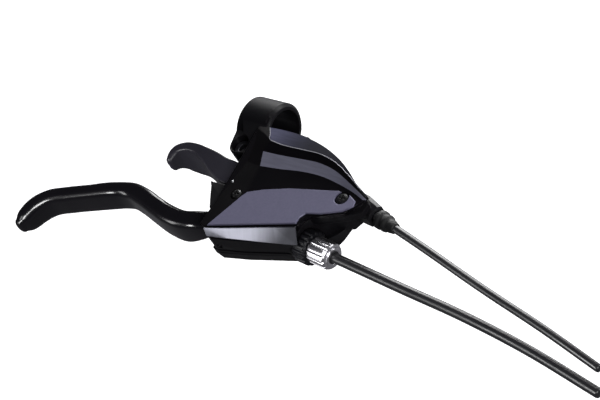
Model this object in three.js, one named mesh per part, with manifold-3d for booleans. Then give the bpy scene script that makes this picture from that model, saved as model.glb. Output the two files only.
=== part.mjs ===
// Combined brake lever and trigger shifter for a 22.2 mm handlebar, right hand.
// Millimetres, +Z up. +X runs along the bar towards the middle of the bike, +Y towards the
// rider (so the front is -Y), +Z is square to the brake lever's plane. Positions are measured
// from the centre of the clamp bore; each finished piece is then moved by DATUM.
import * as THREE from 'three';
import { mergeVertices } from 'three/addons/utils/BufferGeometryUtils.js';
import Module from 'manifold-3d';

const wasm = await Module();
wasm.setup();

// ---- driving dimensions ----
const BAR_D = 22.2;                   // handlebar clamping diameter
const BAND_R = 14.2;                  // outside of the clamp band
const CLAMP_HALF = 9.5;               // half the band's width
const DATUM = [CLAMP_HALF, -12.5, 0]; // origin to band's outboard face, rider's side wall
const PIVOT = [19, -26];              // brake lever and release lever pivot
const AXLE = [46, -32];               // shift mechanism axle
const BOLT = [-1.6, -17.4];           // clamp bolt
const CABLE_R = 11.14;                // shift cable's radius on the drum
const SLOT_TOP = 4, SLOT_BOTTOM = -6; // slot the brake and release levers work in
const PLATE_TOP = 8, PLATE_BOTTOM = -10;
const ROOT_Z = [-5.7, -0.3];          // brake lever's root
const RELEASE_Z = [0.3, 3.6];         // release lever's arm
const THUMB_Z = [-18, -15.8];         // thumb lever
const PAWL_Z = [-15.2, -13.2];        // ratchet and both pawls
const PIN_R = 3, PIN_BORE = 3.06;     // pivot pin and shift axle, and the bores that run on them
const PAWL_PIN_R = 1.22, PAWL_BORE = 1.28;
const THREAD_BORE = 4.35;             // hole the barrel adjuster screws into
const NIPPLE = [17.5, -48.6];         // brake cable's end in the lever
const RELEASE_PIN = [31.4, -25.2];
const HOUSE_SCREWS = [[33, -47.5], [50, -17.2]];  // lower cover screws
const COVER_SCREWS = [                // top cover screws, with head and recess radii
  { side: 'left', at: [15, -44.5], head: 2.6, recess: 3.1 },
  { side: 'right', at: [72, -32.6], head: 3.0, recess: 3.6 },
];
const COVER_SCREW_SPOTS = COVER_SCREWS.map(screw => screw.at);
const X_AXIS = [1, 0, 0], Z_AXIS = [0, 0, 1];

// ---- cable axes ----
const BRAKE_POINT = [68.5, -55.3, -3];
const BRAKE_ANGLE = THREE.MathUtils.degToRad(-7.5);
const BRAKE_DIR = [Math.cos(BRAKE_ANGLE), Math.sin(BRAKE_ANGLE), 0];
const SHIFT_POINT = [88.4, -32.2, 1];
const SHIFT_ANGLE = THREE.MathUtils.degToRad(-15.5);
const SHIFT_DIR = [Math.cos(SHIFT_ANGLE), Math.sin(SHIFT_ANGLE), 0];
const SHIFT_NORMAL = [-SHIFT_DIR[1], SHIFT_DIR[0]];

// Point on the brake cable's axis at a given x.
function brakeAt(x) {
  const distance = (x - BRAKE_POINT[0]) / BRAKE_DIR[0];
  return [x, BRAKE_POINT[1] + BRAKE_DIR[1] * distance, BRAKE_POINT[2]];
}
// Point on the shift cable's axis at a distance along it from SHIFT_POINT.
const shiftAt = distance => SHIFT_POINT.map((v, i) => v + SHIFT_DIR[i] * distance);

// ---- making solids ----
const meshSolid = (positions, triangles) => new wasm.Manifold(new wasm.Mesh({
  numProp: 3,
  vertProperties: new Float32Array(positions),
  triVerts: new Uint32Array(triangles),
}));
// The same, with the triangles turned over if they face inwards.
function outwardSolid(positions, triangles) {
  const result = meshSolid(positions, triangles);
  if (result.volume() >= 0) return result;
  return meshSolid(positions, triangles.map((_, i) => triangles[i + [0, 1, -1][i % 3]]));
}
// Positions and triangles of a three.js geometry, its seams welded and flat triangles dropped.
function welded(geometry) {
  geometry.deleteAttribute('normal');
  geometry.deleteAttribute('uv');
  const merged = mergeVertices(geometry, 1e-4);
  const index = merged.index.array, triangles = [];
  for (let i = 0; i < index.length; i += 3) {
    const [a, b, c] = index.slice(i, i + 3);
    if (a !== b && b !== c && a !== c) triangles.push(a, b, c);
  }
  return [merged.attributes.position.array, triangles];
}
function toGeometry(solid) {
  const mesh = solid.getMesh();
  const geometry = new THREE.BufferGeometry();
  const positions = new Float32Array(mesh.vertProperties);
  geometry.setAttribute('position', new THREE.BufferAttribute(positions, 3));
  geometry.setIndex(Array.from(mesh.triVerts));
  const flat = geometry.toNonIndexed();
  flat.computeVertexNormals();
  return flat;
}
const join = (...solids) => solids.reduce((a, b) => a.add(b));
const cut = (body, ...tools) => tools.reduce((a, b) => a.subtract(b), body);

// ---- outlines in XY ----
const shapeOf = points => new THREE.Shape(points.map(p => new THREE.Vector2(...p)));
const polar = (centre, radius, angle) =>
  [centre[0] + radius * Math.cos(angle), centre[1] + radius * Math.sin(angle)];
const aroundAxle = (radius, degrees) => polar(AXLE, radius, degrees * Math.PI / 180);
const circle = (centre, radius, n = 24) =>
  Array.from({ length: n }, (_, i) => polar(centre, radius, i * 2 * Math.PI / n));
function hull(points) {
  const sorted = points.slice().sort((a, b) => a[0] - b[0] || a[1] - b[1]);
  const cross = (o, a, b) => (a[0] - o[0]) * (b[1] - o[1]) - (a[1] - o[1]) * (b[0] - o[0]);
  const half = list => {
    const chain = [];
    for (const p of list) {
      while (chain.length > 1 && cross(chain.at(-2), chain.at(-1), p) <= 1e-9) chain.pop();
      chain.push(p);
    }
    chain.pop();
    return chain;
  };
  return half(sorted).concat(half(sorted.reverse()));
}
// Hull round discs given as [centre, radius, segments].
const discHull = (...discs) => hull(discs.flatMap(disc => circle(...disc)));
// Each point moved away from the outline's mean point.
function grow(points, distance) {
  const mean = [0, 1].map(j => points.reduce((sum, p) => sum + p[j] / points.length, 0));
  return points.map(([x, y]) => {
    const dx = x - mean[0], dy = y - mean[1], length = Math.hypot(dx, dy);
    return [x + dx / length * distance, y + dy / length * distance];
  });
}

// ---- basic shapes ----
function prism(points, z0, z1, bevel = 0) {
  const geometry = new THREE.ExtrudeGeometry(shapeOf(points), {
    depth: z1 - z0 - 2 * bevel,
    bevelEnabled: bevel > 0,
    bevelThickness: bevel,
    bevelSize: bevel,
    bevelOffset: -bevel,
    bevelSegments: 1,
  });
  geometry.translate(0, 0, z0 + bevel);
  return meshSolid(...welded(geometry));
}
const cyl = (centre, radius, z0, z1, n = 24) => prism(circle(centre, radius, n), z0, z1);
const cyls = (centres, ...size) => centres.map(centre => cyl(centre, ...size));
const box = (x0, x1, y0, y1, z0, z1) => prism([[x0, y0], [x1, y0], [x1, y1], [x0, y1]], z0, z1);
const boxAt = ([x, y], halfX, halfY, z0, z1) =>
  box(x - halfX, x + halfX, y - halfY, y + halfY, z0, z1);
// Points a geometry's own axis along a direction from a base point.
function aim(geometry, axis, base, dir) {
  const to = new THREE.Vector3(...dir).normalize();
  const turn = new THREE.Quaternion().setFromUnitVectors(new THREE.Vector3(...axis), to);
  return geometry.applyQuaternion(turn).translate(...base);
}
// Turned shape about an axis through base along dir; profile is [radius, distance] pairs.
// A profile that starts off the axis is closed into a ring.
function turned(base, dir, profile, n = 24) {
  const loop = profile[0][0] > 0 ? [...profile, profile[0]] : profile;
  const geometry = new THREE.LatheGeometry(loop.map(p => new THREE.Vector2(...p)), n);
  return outwardSolid(...welded(aim(geometry, [0, 1, 0], base, dir)));
}
const column = (base, dir, radius, length, n = 24) =>
  turned(base, dir, [[0, 0], [radius, 0], [radius, length], [0, length]], n);
function rod(from, to, radius, n = 16) {
  const dir = to.map((v, i) => v - from[i]);
  return column(from, dir, radius, Math.hypot(...dir), n);
}
// Sections (equal counts of points, in order along the piece) joined into one closed solid.
function loft(sections) {
  const n = sections[0].length, last = sections.length - 1, triangles = [];
  const middle = points => [0, 1, 2].map(j => points.reduce((sum, p) => sum + p[j] / n, 0));
  const positions = [...sections.flat(), middle(sections[0]), middle(sections[last])].flat();
  const firstCap = sections.length * n, lastCap = firstCap + 1;
  for (let k = 0; k < last; k++)
    for (let i = 0; i < n; i++) {
      const a = k * n + i, b = k * n + (i + 1) % n;
      triangles.push(a, b, b + n, a, b + n, a + n);
    }
  for (let i = 0; i < n; i++) {
    const next = (i + 1) % n;
    triangles.push(firstCap, next, i, lastCap, last * n + i, last * n + next);
  }
  return outwardSolid(positions, triangles);
}
// Round-cornered box section; half is the half width along side.
function section(centre, side, half, z0, z1, radius) {
  const q = Math.min(radius, half * 0.95, (z1 - z0) * 0.47);
  const k = q * 0.293; // how far a 45 degree corner point sits in from the box's edges
  return [
    [half, z0 + q], [half, z1 - q], [half - k, z1 - k], [half - q, z1],
    [-half + q, z1], [-half + k, z1 - k], [-half, z1 - q], [-half, z0 + q],
    [-half + k, z0 + k], [-half + q, z0], [half - q, z0], [half - k, z0 + k],
  ].map(([u, z]) => [centre[0] + side[0] * u, centre[1] + side[1] * u, z]);
}
// A bar that follows a path in XY; each stop is [x, y, half thickness, z0, z1, corner radius].
function blade(stops) {
  return loft(stops.map((stop, i) => {
    const before = stops[Math.max(0, i - 1)];
    const after = stops[Math.min(stops.length - 1, i + 1)];
    const dx = after[0] - before[0], dy = after[1] - before[1], length = Math.hypot(dx, dy);
    return section(stop, [-dy / length, dx / length], ...stop.slice(2));
  }));
}
// A round hose through the points.
function hose(points, radius, steps) {
  const vectors = points.map(p => new THREE.Vector3(...p));
  const extrudePath = new THREE.CatmullRomCurve3(vectors, false, 'centripetal');
  const options = { steps, extrudePath, bevelEnabled: false };
  const outline = shapeOf(circle([0, 0], radius, 10));
  return meshSolid(...welded(new THREE.ExtrudeGeometry(outline, options)));
}
// Surface made of rows of points, closed down to a flat underside at z.
function sheet(rows, z) {
  const R = rows.length, C = rows[0].length, under = R * C, triangles = [];
  const top = rows.flat();
  const positions = [...top, ...top.map(([x, y]) => [x, y, z])].flat();
  const at = (r, c) => r * C + c;
  for (let r = 0; r < R - 1; r++)
    for (let c = 0; c < C - 1; c++) {
      const a = at(r, c), b = at(r, c + 1), d = at(r + 1, c), e = at(r + 1, c + 1);
      triangles.push(a, d, e, a, e, b);
      triangles.push(...[a, e, d, a, b, e].map(v => v + under));
    }
  const wall = (a, b) => triangles.push(a, b, b + under, a, b + under, a + under);
  for (let c = 0; c < C - 1; c++) {
    wall(at(0, c), at(0, c + 1));
    wall(at(R - 1, c + 1), at(R - 1, c));
  }
  for (let r = 0; r < R - 1; r++) {
    wall(at(r + 1, 0), at(r, 0));
    wall(at(r, C - 1), at(r + 1, C - 1));
  }
  return outwardSolid(positions, triangles);
}

// ---- finishes and the group ----
const FINISHES = {
  paint: { color: 0x101013, roughness: 0.38, metalness: 0.2 },
  alloy: { color: 0x141417, roughness: 0.3, metalness: 0.6 },
  plastic: { color: 0x17171a, roughness: 0.6, metalness: 0 },
  plate: { color: 0x55546a, roughness: 0.35, metalness: 0.6 },
  silver: { color: 0xb8bad0, roughness: 0.25, metalness: 0.9 },
  chrome: { color: 0xd5d6da, roughness: 0.12, metalness: 1 },
  steel: { color: 0x9a9da3, roughness: 0.35, metalness: 0.9 },
  darkSteel: { color: 0x3a3b40, roughness: 0.4, metalness: 0.8 },
  rubber: { color: 0x151515, roughness: 0.85, metalness: 0 },
  brass: { color: 0xb08d4a, roughness: 0.35, metalness: 0.9 },
  nylon: { color: 0xd9d7cc, roughness: 0.6, metalness: 0 },
};
const root = new THREE.Group();
root.name = 'brake_shift_lever';
function add(name, finish, solid) {
  const material = new THREE.MeshStandardMaterial(FINISHES[finish]);
  const mesh = new THREE.Mesh(toGeometry(solid.translate(DATUM)), material);
  mesh.name = name;
  root.add(mesh);
}

// ---- bracket outlines, [x, y] ----
const UPPER_PLATE = [
  [3, -2], [11, -5.8], [24, -6], [37, -7], [51, -10.8], [64, -16.6], [73, -22.8], [82, -27.6],
  [85, -30.5], [84.5, -35.5], [77, -39.6], [67, -43.8], [60, -46], [58.2, -49], [57.6, -58.2],
  [53.4, -59.6], [33, -63.6], [17.6, -66.2], [9.6, -67.2], [6, -64.5], [5.6, -56.5],
  [6.8, -46.9], [7.4, -38.3], [9, -33], [11, -28], [11, -21], [6, -16], [0, -14],
];
// Shelf beside the cover, over the lever's slot, and the raised lip on it.
const LEDGE_EDGE = [[-4.4, -40.8], [-2.4, -43.2], [0.6, -48.4], [4.4, -54.6]];
const LEDGE = [...LEDGE_EDGE, [8, -56], [9, -40.8]];
const LEDGE_LIP = [...LEDGE_EDGE, [5.2, -54.6], [6, -47], [6.9, -40.8]];
const LOWER_PLATE = [
  [14, -14], [30, -11], [46, -12.5], [56, -15.8], [62.5, -21], [66.3, -26.3], [68.4, -30.6],
  [69.9, -35.6], [69.4, -39.1], [67.6, -42.2], [64.6, -45.4], [60.4, -50], [57.6, -58.2],
  [48, -60.5], [26.7, -65.6], [12, -68.2], [6, -66.5], [5.2, -62], [7, -50], [11, -36], [12, -24],
];
const FRONT_WALL = [
  [9.8, -67.5], [12, -68], [26.7, -65.5], [48, -60.4], [57.6, -58.4],
  [57.6, -55], [48, -57.4], [30, -60.8], [10, -63.2],
];
// Wall round the shift mechanism and the solid inboard end.
const MECHANISM_WALL = [
  [31, -12], [46, -13], [56, -16.5], [66, -22], [74, -26.5], [76, -32], [74, -37], [66, -39.5],
  [60, -46], [56, -52], [50, -54], [36, -51], [31.5, -42], [29.5, -33], [29.5, -29.5],
  [33.5, -28.6], [33.5, -21.5], [30.5, -20],
];
const LUG = discHull([BOLT, 5.7], [[-3.6, -9], 5.6, 12], [[4, -10], 5.2, 12],
  [[3.4, -16.6], 5.6, 16]);

// ---- shapes shared by the bracket, cover and trim ----
const ringRoom = turned(brakeAt(55.4), BRAKE_DIR,
  [[0, 0], [8.8, 0], [8.8, 8], [7, 8], [7, 30], [0, 30]], 28);
const threadBore = column(brakeAt(40), BRAKE_DIR, THREAD_BORE, 40);
// Block between the band and the cover; rows are [x0, x1, y, top z].
const saddle = rows => loft(rows.map(([x0, x1, y, z]) =>
  [[x0, y, 4], [x1, y, 4], [x1, y, z], [x0, y, z]]));
// Strip along the front edge; stations are [x, y, drop of the face, reach forward].
const TRIM_STATIONS = [
  [9.4, -66, 4.3, 1.9], [20, -63.4, 4.8, 2.8], [33.5, -59.6, 5.4, 4.1],
  [46, -56, 6.1, 5.3], [57.4, -52.8, 6.6, 6.2],
];
const TRIM_OUT = [0.26, -0.966]; // direction the strip stands out in
const trimStrip = (back, under) => loft(TRIM_STATIONS.map(([x, y, drop, reach]) => [
  [-back, 10.7], [0.5, 10.9], [reach, 10.9 - drop], [reach, 10.5 - drop - under],
  [reach - 0.9, 10.2 - drop - under], [-back, 9.4 - under],
].map(([u, z]) =>
  [x + TRIM_OUT[0] * (u + 0.1), y + TRIM_OUT[1] * (u + 0.1), Math.max(z, 3 - under)])));
// Rod on the reach screw's axis, which runs front to back.
const reachRod = (y0, y1, radius, n = 12) => rod([14, y0, -0.6], [14, y1, -0.6], radius, n);

// ---- bracket: clamp band, neck, two plates, front wall and both cable bosses ----
function clampBand() {
  const width = 2 * CLAMP_HALF, inside = 5; // the bar's bore is cut later
  return turned([-CLAMP_HALF, 0, 0], X_AXIS, [
    [inside, 0], [BAND_R - 0.8, 0], [BAND_R, 0.8],
    [BAND_R, width - 1.6], [BAND_R - 1.6, width], [inside, width],
  ], 40);
}
function shiftBoss() {
  // Offsets in x and y from SHIFT_POINT, half width, half height.
  const stations = [[-20, 5.6, 5, 4.2], [-10, 2.8, 5.6, 4.9], [-1, 0.3, 4.6, 4.2]];
  const octagon = [
    [1, -0.6], [1, 0.6], [0.6, 1], [-0.6, 1], [-1, 0.6], [-1, -0.6], [-0.6, -1], [0.6, -1],
  ];
  return loft(stations.map(([dx, dy, half, rise]) => octagon.map(([u, w]) => [
    SHIFT_POINT[0] + dx + SHIFT_NORMAL[0] * half * u,
    SHIFT_POINT[1] + dy + SHIFT_NORMAL[1] * half * u,
    SHIFT_POINT[2] + rise * w,
  ])));
}
function bracket() {
  const body = join(
    clampBand(),
    prism(LUG, -8, 9.9, 0.6),
    saddle([[-8.6, 9.3, -1.5, 13.9], [-6, 9.2, -6, 12.9], [-2.5, 8.6, -12, 11.2],
      [0, 7.6, -16.5, 10.2]]),
    prism(UPPER_PLATE, SLOT_TOP, PLATE_TOP),
    prism(LEDGE, SLOT_TOP, PLATE_TOP),
    prism(LEDGE_LIP, PLATE_TOP - 1, 9.6),
    prism(LOWER_PLATE, PLATE_BOTTOM, SLOT_BOTTOM),
    prism(FRONT_WALL, SLOT_BOTTOM - 1, SLOT_TOP + 1),
    prism(MECHANISM_WALL, SLOT_BOTTOM - 1, SLOT_TOP + 1),
    turned(brakeAt(46), BRAKE_DIR, [[0, 0], [7, 0], [7, 8], [6.6, 9.3], [0, 9.3]]),
    shiftBoss(),
  );
  const opened = cut(body,
    trimStrip(0.4, 0.35),
    ringRoom,
    reachRod(-72, -52, 1.56),
    column([-30, 0, 0], X_AXIS, BAR_D / 2, 60, 40),
    box(-20, 5.6, -40, -5, -1, 1),                  // split of the clamp
    cyl(BOLT, 2.65, -20, 20, 20),                   // clamp bolt hole
    cyl(BOLT, 4.75, 1.8, 20),                       // its head's recess
    cyl(BOLT, 4.9, -20, -5.2, 6),                   // nut pocket
    cyl(PIVOT, 3.05, -12, PLATE_TOP - 0.01),
    cyl(PIVOT, 4.4, 6.6, 12),
    cyl(AXLE, 13.2, -12, SLOT_TOP, 32),             // room for the drum
    cyl(AXLE, 3.05, 0, 12),
    box(29.6, 34, -29, -22, -12, SLOT_TOP),         // room for the release pin
    threadBore,
    rod(brakeAt(2), brakeAt(50), 1.4, 12),          // brake cable's channel
    prism([[2, -70], [52, -70], [52, -55], [2, -52]], -4.4, -3.2), // cable slit, front wall
    turned(shiftAt(-60), SHIFT_DIR,
      [[0, 0], [1, 0], [1, 59], [2.7, 59], [2.7, 90], [0, 90]], 16),
    ...cyls(HOUSE_SCREWS, 1.5, -12, -5.5, 12),
    ...COVER_SCREW_SPOTS.map((spot, i) => cyl(spot, 1.25, 4 + i, 12, 12)),
  );
  // Only the largest part is kept: the bar's bore leaves a sliver.
  return opened.decompose().sort((a, b) => b.volume() - a.volume())[0];
}
add('bracket', 'paint', bracket());

// ---- clamp bolt and nut ----
add('clamp_bolt', 'darkSteel', cut(
  join(cyl(BOLT, 2.5, -9.5, 3, 20), cyl(BOLT, 4.3, 2, 6.6, 28)),
  cyl(BOLT, 2.3, 4.2, 12, 6),
));
add('clamp_nut', 'steel', cut(cyl(BOLT, 4.6, -9.3, -5.4, 6), cyl(BOLT, 2.55, -12, 0, 20)));

// ---- top cover ----
const COVER_COLUMNS = 9;
// Top surface as lines of [x, y, z] along the bar, from the rider's edge to the front edge.
const COVER_LINES = [
  [[4, -6, 12], [11.3, -6.2, 12.6], [23.5, -5.9, 12.6], [36.6, -7, 12.6], [51.2, -10.6, 12.6],
    [64.1, -16.4, 12.6], [73.7, -22.8, 12.3], [84, -28, 11]],
  [[6, -9, 13.5], [12.5, -11, 15], [19, -14.4, 15.5], [25.2, -15.3, 15.5], [37.5, -15.3, 15.5],
    [49.6, -15.2, 15.5], [59.1, -17, 15.2], [68.7, -20.9, 14.5], [85, -29.3, 11.6]],
  [[8.5, -16, 12.5], [16.7, -20.1, 13.3], [27.2, -20, 13.5], [39, -19.3, 13.5],
    [50.7, -18.9, 13.5], [60.9, -20.6, 13.5], [72.6, -25, 13], [85.4, -30.4, 11.6]],
  [[9.4, -26, 10.6], [18.1, -27, 11], [29.8, -25.9, 11], [41.1, -24.4, 11], [53.1, -24.1, 11],
    [66.3, -26, 11], [77, -28.6, 11], [85.2, -31.6, 11.2]],
  [[8.2, -35, 10.6], [20.1, -42.1, 10.8], [27.6, -38.4, 10.8], [41.8, -33.8, 10.8],
    [57, -30.8, 10.8], [69, -28.8, 10.8], [77, -29.8, 10.8], [84.6, -33.6, 10.8]],
  [[6.2, -50, 10.6], [14, -56, 10.8], [30, -53, 10.8], [44, -49, 10.8], [56, -46, 10.8],
    [67, -43.2, 10.8], [77, -39.2, 10.6], [82.6, -36.4, 10.6]],
  [[5.6, -64.2, 10.6], [9.4, -65.7, 10.8], [24, -62, 10.8], [40, -57.6, 10.8],
    [57.6, -52.3, 10.8], [58.2, -48.7, 10.8], [67.2, -44.2, 10.6], [77, -40, 10.4]],
];
const COVER_HOLLOW = [
  [13, -13], [36, -12], [50, -15], [62, -22], [66, -30],
  [60, -42], [40, -52], [22, -56], [20, -40], [14, -32],
];
const NAME_PLATE = [
  [10.6, -64.8], [18.9, -45], [20.6, -42.2], [27.8, -39], [41.8, -34.6], [57, -31.6],
  [68, -29.4], [75.6, -30.2], [80, -32.4], [80.8, -35.6], [76.4, -39.3], [66.4, -43.4],
  [58.4, -45.2], [56.6, -48.2], [56.7, -51.6],
];
// COVER_COLUMNS points evenly spaced along a line; distances are measured in XY.
function resample(points) {
  const along = [0];
  for (let i = 1; i < points.length; i++) {
    const [a, b] = [points[i - 1], points[i]];
    along.push(along[i - 1] + Math.hypot(b[0] - a[0], b[1] - a[1]));
  }
  return Array.from({ length: COVER_COLUMNS }, (_, k) => {
    const target = along.at(-1) * k / (COVER_COLUMNS - 1);
    let i = 1;
    while (i < along.length - 1 && along[i] < target) i++;
    const f = (target - along[i - 1]) / (along[i] - along[i - 1]);
    return points[i - 1].map((v, j) => v + f * (points[i][j] - v));
  });
}
function topCover() {
  const lines = COVER_LINES.map(resample);
  const riderEdge = lines[0].map(([x, y]) => [x, y + 0.1, 9.4]);
  return cut(sheet([riderEdge, ...lines], PLATE_TOP + 0.3),
    prism(COVER_HOLLOW, 4, 9.6),
    prism(grow(NAME_PLATE, 0.35), 10.0, 20),
    ...cyls(COVER_SCREW_SPOTS, 1.75, 0, 20, 16),
    ...COVER_SCREWS.map(({ at, recess }) => cyl(at, recess, 9.7, 20, 20)),
    cyl(AXLE, 7, 4, 10.4),
    cyl(PIVOT, 5, 4, 9.4, 20),
    cyl(BOLT, 5.9, 0, 20, 28),
    box(-20, 4.6, -30, 0, 0, 20),
    prism(grow(LUG, 0.4), 0, 10.2),
    saddle([[-9.6, 10, -1, 14.3], [-7, 9.6, -6, 13.3], [-3.5, 9, -12, 11.6],
      [-1, 8, -17, 10.5]]),
    column([-20, 0, 0], X_AXIS, BAND_R + 0.3, 29.8, 48));
}
function coverScrew({ at, head }) {
  const profile = [[0, 0], [head, 0], [head, 0.8], [head * 0.7, 1.3], [0, 1.5]];
  return cut(join(cyl(at, 1.2, 5.1, 10.2, 12), turned([...at, 9.9], Z_AXIS, profile, 20)),
    boxAt(at, 1.7, 0.35, 10.7, 13), boxAt(at, 0.35, 1.7, 10.7, 13));
}
add('top_cover', 'plastic', topCover());
add('name_plate', 'plate', cut(prism(NAME_PLATE, 10.3, 11.4, 0.25),
  ...COVER_SCREWS.map(({ at, recess }) => cyl(at, recess + 0.2, 0, 20, 20))));
for (const screw of COVER_SCREWS) add('cover_screw_' + screw.side, 'darkSteel', coverScrew(screw));
add('front_trim', 'silver', cut(trimStrip(0, 0), ringRoom));

// ---- brake lever: blade, root and ball end in one forging ----
const LEVER_STOPS = [ // from the ball end to the pivot, columns as in blade()
  [-107.7, -83.6, 2.8, -9.6, -0.8, 2.4], [-107.2, -81.6, 4.2, -11, 0.6, 3.8],
  [-105.8, -78.4, 5, -11.6, 1.8, 4.4], [-102.8, -73.8, 5, -11.2, 3.2, 4.2],
  [-96.6, -68.8, 4.4, -10.2, 4.7, 3.8], [-86, -64.4, 4.2, -9.8, 5.3, 3.6],
  [-74, -60, 4.1, -9.8, 5.5, 3.5], [-64, -56.2, 4.2, -10, 5.6, 3.5],
  [-57.5, -54.1, 4.2, -10, 5.2, 3.5], [-51, -53.2, 4.5, -9.6, 5.2, 3.5],
  [-43, -54.6, 4.7, -9.6, 5.6, 3.5], [-32, -57.8, 4.7, -10.6, 5.8, 3.5],
  [-22, -60.2, 4.9, -11.2, 5.4, 3.4], [-13, -60.8, 5, -11.4, 4.8, 3.2],
  [-5, -58.8, 5.2, -8.6, 3.8, 2.6], [1.5, -55, 5.6, -5.7, 0.2, 1.5],
  [9, -49.4, 6.4, ...ROOT_Z, 1.2], [15, -41, 7, ...ROOT_Z, 1.2], [18.6, -30, 6.6, ...ROOT_Z, 1.2],
];
add('brake_lever', 'alloy', cut(
  join(
    blade(LEVER_STOPS),
    cyl(PIVOT, 6.8, ...ROOT_Z, 32),
    prism(discHull([[17.5, -48.8], 4.8, 20], [[14, -42], 5, 16]), ...ROOT_Z),
  ),
  cyl(PIVOT, 3.8, -12, 8),
  cyl(NIPPLE, 2.55, -5.2, 8, 20),
  prism([[17, -50.2], [32, -53.4], [32, -41], [17, -46.8]], -4.1, -1.9), // brake wire's slot
  box(-2, 2.6, -66, -57.8, -3.2, 8),
));
add('brake_pivot_bush', 'brass', cut(cyl(PIVOT, 3.72, ...ROOT_Z), cyl(PIVOT, PIN_BORE, -9, 9)));
add('brake_pivot_pin', 'steel', cut(
  turned([...PIVOT, -11.6], Z_AXIS, [
    [0, 0], [2.9, 0], [2.9, 0.5], [2.3, 0.5], [2.3, 1.2], [PIN_R, 1.2], [PIN_R, 18.3],
    [4.2, 18.3], [4.2, 19.3], [0, 19.3],
  ]),
  cyl(PIVOT, 1.5, 6.9, 9, 6),
));
const CLIP = [ // measured from the pivot
  [1.2, -4.4], [3.4, -3.6], [4.6, -1], [4.6, 1], [3.4, 3.6], [1.2, 4.4], [-2.6, 3.8],
  [-2.6, 2.5], [1, 2.5], [2.5, 1.2], [2.5, -1.2], [1, -2.5], [-2.6, -2.5], [-2.6, -3.8],
];
add('pivot_clip', 'darkSteel',
  prism(CLIP.map(([x, y]) => [PIVOT[0] + x, PIVOT[1] + y]), -11.05, -10.45));
// Threads through the bracket's front wall and stops the lever's root.
add('reach_adjust_screw', 'darkSteel',
  cut(reachRod(-67, -56.5, 1.5), reachRod(-68, -65.4, 0.8, 6)));
add('brake_cable_nipple', 'steel', cyl(NIPPLE, 2.4, -5.1, 0.6, 20));

// ---- release lever: arm on the same pin, hooked paddle outboard ----
const PADDLE_STOPS = [ // from the outboard tip to the arm, columns as in blade()
  [-37.4, -34, 1.7, -1, 8.2, 1.6], [-37.2, -31.6, 2.3, -2.6, 9, 2],
  [-36, -28.4, 2.5, -6.2, 9.4, 1.5], [-32.4, -25.8, 2.5, -10.6, 9.4, 1.1],
  [-26, -24.9, 2.5, -12.8, 9.3, 0.9], [-19.6, -26.2, 3.2, -13.6, 9.3, 0.9],
  [-12.6, -28.4, 4.4, -13.8, 9.2, 0.9], [-6, -31, 5.5, -12, 8.9, 0.9],
  [-0.5, -32.4, 6.4, -4.6, 8.4, 0.8], [4.9, -33.2, 6.2, 0.3, 7.9, 0.8],
];
const [RELEASE_BOTTOM, RELEASE_TOP] = RELEASE_Z;
add('release_lever', 'plastic', cut(
  join(
    cyl(PIVOT, 6, ...RELEASE_Z, 28),
    prism(discHull([[PIVOT[0], PIVOT[1] - 0.5], 5.2, 20], [[3, -31.5], 6.6, 16]), ...RELEASE_Z),
    prism(discHull([PIVOT, 3.2, 16], [RELEASE_PIN, 2.2, 16]), ...RELEASE_Z),
    blade(PADDLE_STOPS),
  ),
  cyl(PIVOT, PIN_BORE, -9, 9),
  prism([[-14, -35], [-4, -36.6], [8, -37], [8, -50], [-14, -50]], -20, 4.9),
  // Past the paddle only the arm's thickness stays.
  box(4.9, 40, -60, 0, RELEASE_TOP, 12),
  box(4.9, 40, -60, 0, -20, RELEASE_BOTTOM),
  cyl(RELEASE_PIN, 1.25, -5, 9, 16),
));
add('release_pin', 'steel', cyl(RELEASE_PIN, 1.22, -15.2, 3.4, 16));

// ---- brake cable: lock ring, adjuster, ferrule, casing and inner wire ----
// Ribbed knob on the brake cable's axis.
function knob({ x, valley, crest, length, ribs }) {
  const points = [], half = Math.PI / ribs;
  for (let i = 0; i < ribs; i++) {
    const angle = i * 2 * Math.PI / ribs;
    for (const [radius, step] of [[crest, -0.55], [crest, 0.25], [valley, 0.6], [valley, 1.1]])
      points.push(polar([0, 0], radius, angle + half * step));
  }
  const geometry = new THREE.ExtrudeGeometry(shapeOf(points), {
    depth: length - 1,
    bevelEnabled: true,
    bevelThickness: 0.5,
    bevelSize: 0.4,
    bevelOffset: -0.4,
    bevelSegments: 1,
  });
  geometry.translate(0, 0, 0.5);
  return meshSolid(...welded(aim(geometry, Z_AXIS, brakeAt(x), BRAKE_DIR)));
}
add('adjuster_lock_ring', 'plastic',
  cut(knob({ x: 55.7, valley: 7.9, crest: 8.5, length: 7.3, ribs: 16 }), threadBore));
add('barrel_adjuster', 'chrome', cut(
  join(
    column(brakeAt(45), BRAKE_DIR, 4.28, 19),
    knob({ x: 63.4, valley: 5.8, crest: 6.6, length: 10.2, ribs: 12 }),
    turned(brakeAt(73), BRAKE_DIR, [[0, 0], [4.3, 0], [4.3, 1.6], [3.9, 2.1], [0, 2.1]]),
  ),
  turned(brakeAt(40), BRAKE_DIR,
    [[0, 0], [1.1, 0], [1.1, 26.5], [3.15, 26.5], [3.15, 60], [0, 60]], 20),
));
add('brake_casing_ferrule', 'darkSteel', cut(
  column(brakeAt(67), BRAKE_DIR, 3, 9, 20),
  turned(brakeAt(67), BRAKE_DIR, [[0, -1], [1.1, -1], [1.1, 1], [2.65, 1], [2.65, 20], [0, 20]], 20),
));
const BRAKE_ROUTE = [
  brakeAt(68.4), brakeAt(74), brakeAt(84),
  [118.8, -61.7, -4], [153.8, -64.8, -8], [187.5, -68.7, -14], [229, -76, -22],
];
add('brake_cable_casing', 'rubber',
  cut(hose(BRAKE_ROUTE, 2.5, 22), rod(brakeAt(60), brakeAt(73), 1.0, 8)));
add('brake_inner_wire', 'steel', rod(brakeAt(20.4), brakeAt(70), 0.8, 8));

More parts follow.
